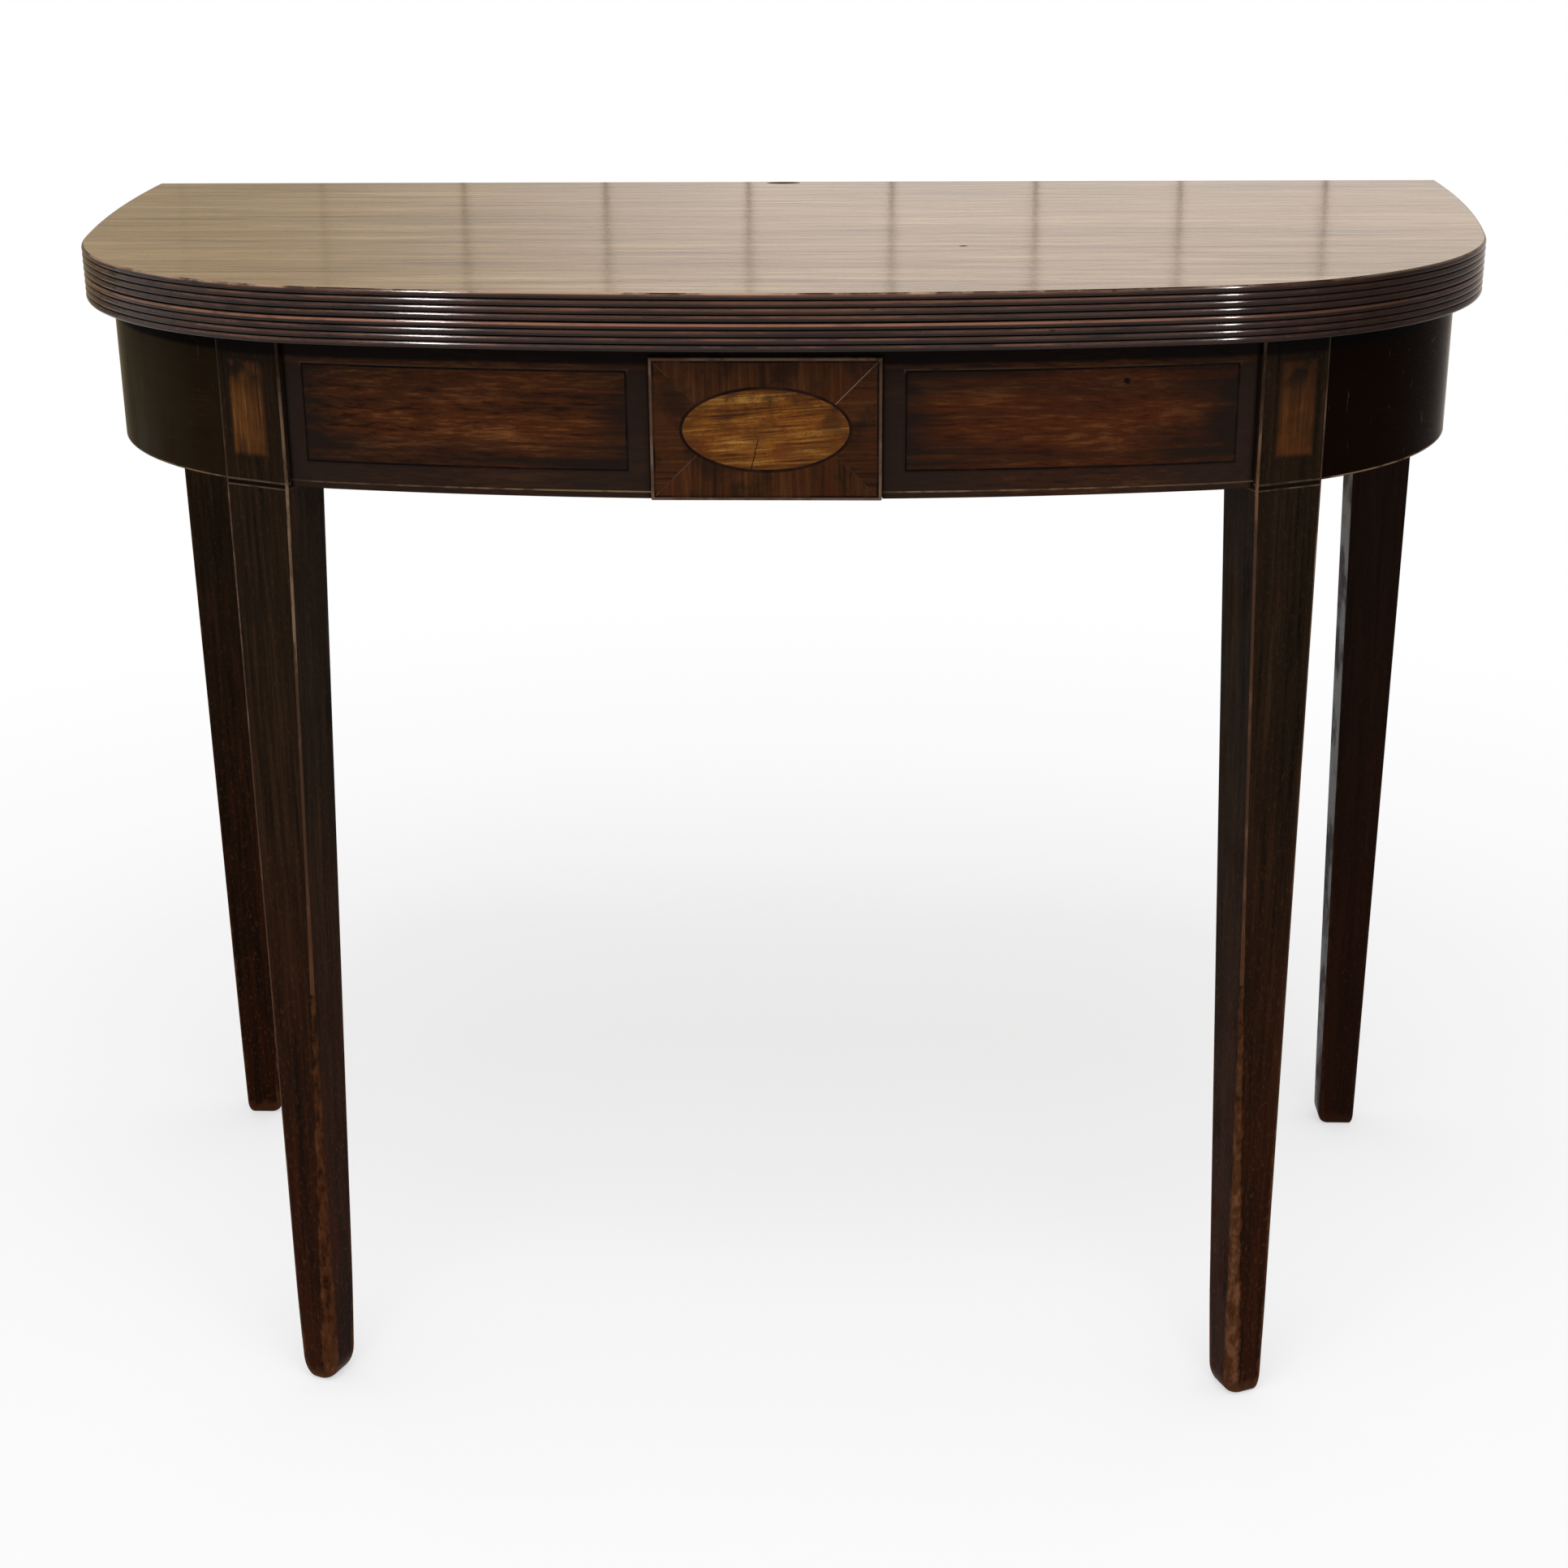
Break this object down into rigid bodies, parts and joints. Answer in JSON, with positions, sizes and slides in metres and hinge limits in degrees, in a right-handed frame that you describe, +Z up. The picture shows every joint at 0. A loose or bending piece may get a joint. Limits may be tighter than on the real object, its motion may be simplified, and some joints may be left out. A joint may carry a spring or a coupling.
{
  "type": "demilune folding card table",
  "caption": "D-shaped fold-over mahogany card table with a reeded edge, an inlaid oval tablet on the bowed frieze, tapered front legs and swinging gate legs behind.",
  "frame": {"origin": "on the floor, under the middle of the closed table's bounding box", "axes": "+X to the right seen from the front, +Y towards the straight back edge, +Z up"},
  "size_m": [0.918, 0.473, 0.74],
  "materials": {
    "top_mahogany": "faded mahogany under a glossy wax polish",
    "frieze_mahogany": "dark figured mahogany veneer, French polished",
    "leg_mahogany": "nearly black polished mahogany, worn at the corners",
    "satinwood": "golden satinwood inlay, polished",
    "panel_veneer": "warm brown inlaid veneer, polished",
    "pine": "planed and aged softwood",
    "beech": "stained beech, planed",
    "hinge_brass": "tarnished cast brass",
    "iron": "dark hand-filed iron"
  },
  "bodies": {
    "table_frame": {"fixed_leaf": "top_mahogany", "leaf_tongue": "beech", "hinge_plate_fixed_right": "hinge_brass", "hinge_pin_right": "hinge_brass", "hinge_screw_fixed_1_right": "hinge_brass", "hinge_screw_fixed_2_right": "hinge_brass", "hinge_plate_fixed_left": "hinge_brass", "hinge_pin_left": "hinge_brass", "hinge_screw_fixed_1_left": "hinge_brass", "hinge_screw_fixed_2_left": "hinge_brass", "front_rail": "frieze_mahogany", "end_rail_right": "frieze_mahogany", "end_rail_left": "frieze_mahogany", "back_rail": "pine", "medial_brace": "pine", "corner_block_right": "pine", "corner_block_left": "pine", "centre_tablet": "frieze_mahogany", "tablet_oval": "satinwood", "front_leg_right": "leg_mahogany", "front_leg_left": "leg_mahogany", "leg_panel_right": "panel_veneer", "leg_panel_left": "panel_veneer", "hinge_rail": "beech", "packing_rail": "pine", "knuckle_pin_right": "iron", "knuckle_pin_left": "iron", "top_screw_1": "iron", "top_screw_2": "iron", "top_screw_3": "iron", "top_screw_4": "iron", "top_screw_5": "iron", "top_screw_6": "iron", "rail_screw_1": "iron", "rail_screw_2": "iron", "rail_screw_3": "iron", "rail_screw_4": "iron"},
    "top_leaf": {"folding_leaf": "top_mahogany", "hinge_plate_folding_right": "hinge_brass", "hinge_screw_folding_1_right": "hinge_brass", "hinge_screw_folding_2_right": "hinge_brass", "hinge_plate_folding_left": "hinge_brass", "hinge_screw_folding_1_left": "hinge_brass", "hinge_screw_folding_2_left": "hinge_brass"},
    "right_gate": {"fly_rail_right": "beech", "rear_leg_right": "leg_mahogany"},
    "left_gate": {"fly_rail_left": "beech", "rear_leg_left": "leg_mahogany"}
  },
  "joints": [
    {"name": "leaf_fold", "type": "hinge", "parent": "table_frame", "child": "top_leaf", "pos_m": [0, 0.2315, 0.72365], "axis": [-1, 0, 0], "range_deg": [0, 180]},
    {"name": "right_gate_swing", "type": "hinge", "parent": "table_frame", "child": "right_gate", "pos_m": [0.105, 0.2083, 0.62], "axis": [0, 0, 1], "range_deg": [0, 80]},
    {"name": "left_gate_swing", "type": "hinge", "parent": "table_frame", "child": "left_gate", "pos_m": [-0.105, 0.2083, 0.62], "axis": [0, 0, -1], "range_deg": [0, 80]}
  ]
}
